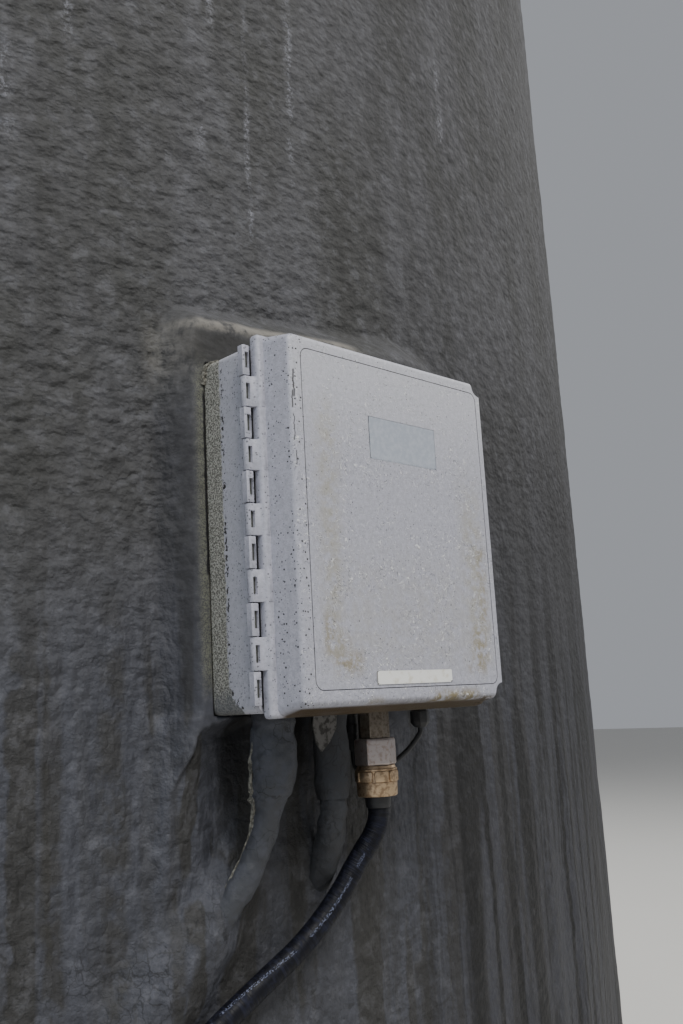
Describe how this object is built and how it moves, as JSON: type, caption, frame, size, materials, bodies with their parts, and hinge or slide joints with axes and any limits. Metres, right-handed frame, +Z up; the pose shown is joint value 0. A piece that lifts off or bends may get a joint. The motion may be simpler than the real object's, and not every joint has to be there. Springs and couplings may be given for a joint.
{
  "type": "insulated vertical storage tank with heater control box",
  "caption": "Upright round storage tank in a sprayed foam jacket, with a domed top, a manway lid and a hinged heater control box on its wall.",
  "frame": {"origin": "centre of the tank's flat base, on the ground", "axes": "+Z up along the tank's axis, -Y out through the door of the control box, +X to the right when facing that door"},
  "size_m": [3.708, 4.265, 4.2996],
  "materials": {
    "foam_jacket": "grey coating over sprayed foam, lumpy, weathered and streaked",
    "polyethylene": "dark rotomoulded polyethylene",
    "dark_plastic": "satin black",
    "fibreglass": "pale grey fibreglass, weathered, with fine fibres, specks and stains",
    "zinc_steel": "plated steel, dull and stained",
    "bronze": "bronzed and stained",
    "rubber": "black rubber, dusty",
    "label": "faded pale blue plate, bare",
    "tape": "white label tape, bare"
  },
  "bodies": {
    "tank": {"back_panel": "zinc_steel", "box_body": "fibreglass", "cable_coil": "rubber", "cable_plug": "dark_plastic", "cable_tail": "rubber", "cable_tie": "dark_plastic", "coated_conduit_left": "foam_jacket", "coated_conduit_middle": "foam_jacket", "cord_grip_body": "zinc_steel", "cord_grip_grommet": "rubber", "cord_grip_neck": "zinc_steel", "cord_grip_nut": "bronze", "filler_boss": "polyethylene", "filler_cap": "dark_plastic", "foam_mound_left": "foam_jacket", "foam_mound_right": "foam_jacket", "foam_mound_top": "foam_jacket", "hinge_pin": "zinc_steel", "jacket_dome": "foam_jacket", "jacket_wall_1": "foam_jacket", "jacket_wall_2": "foam_jacket", "jacket_wall_3": "foam_jacket", "jacket_wall_4": "foam_jacket", "jacket_wall_5": "foam_jacket", "jacket_wall_6": "foam_jacket", "jacket_wall_7": "foam_jacket", "jacket_wall_8": "foam_jacket", "liner_dome": "polyethylene", "liner_wall": "polyethylene", "manway_lid": "dark_plastic", "manway_neck": "polyethylene", "outlet_collar": "polyethylene", "outlet_cover": "dark_plastic", "outlet_pipe": "dark_plastic", "power_cable": "rubber", "probe_holder": "rubber", "sensor_gland": "rubber", "sensor_wire": "rubber", "tank_floor": "polyethylene", "vent_boss": "polyethylene", "vent_cap": "dark_plastic", "vent_pipe": "dark_plastic"},
    "door": {"box_door": "fibreglass", "door_gasket": "rubber", "name_plate": "label", "tape_label": "tape", "cover_screw_top": "zinc_steel", "cover_screw_bottom": "zinc_steel"}
  },
  "joints": [
    {"name": "door_hinge", "type": "hinge", "parent": "tank", "child": "door", "pos_m": [-0.1645, -1.9555, 1.4837], "axis": [0, 0, -1], "range_deg": [0, 180]}
  ]
}
